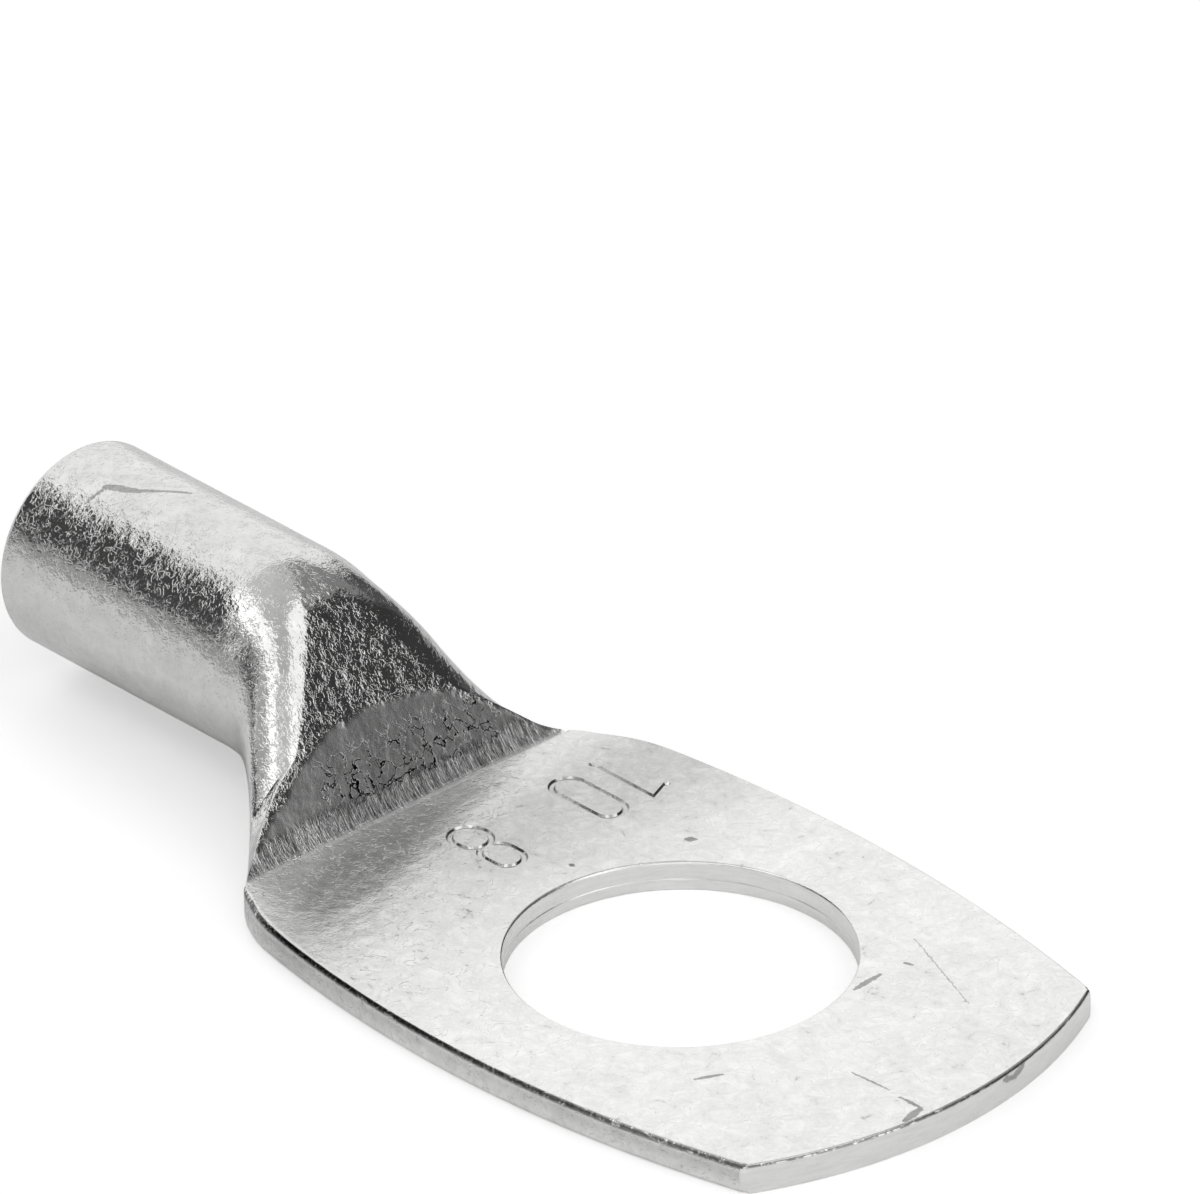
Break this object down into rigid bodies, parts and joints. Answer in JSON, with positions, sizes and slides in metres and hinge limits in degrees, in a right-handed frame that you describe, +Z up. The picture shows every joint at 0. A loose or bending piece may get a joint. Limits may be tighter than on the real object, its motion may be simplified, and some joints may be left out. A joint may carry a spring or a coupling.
{
  "type": "cable lug",
  "caption": "Tinned copper tube cable lug: round crimp barrel, flared neck pressed flat, and a palm with a clearance hole for a stud.",
  "frame": {"origin": "centre of the stud hole on the palm's underside", "axes": "+Z up along the stud hole, +X from the hole towards the palm's tip, the barrel lies towards -X"},
  "size_m": [0.038, 0.0171, 0.0074],
  "materials": {
    "tinned_copper": "matt tin plate over pressed copper, faintly mottled"
  },
  "bodies": {
    "root": {"cable_lug": "tinned_copper"}
  },
  "joints": []
}
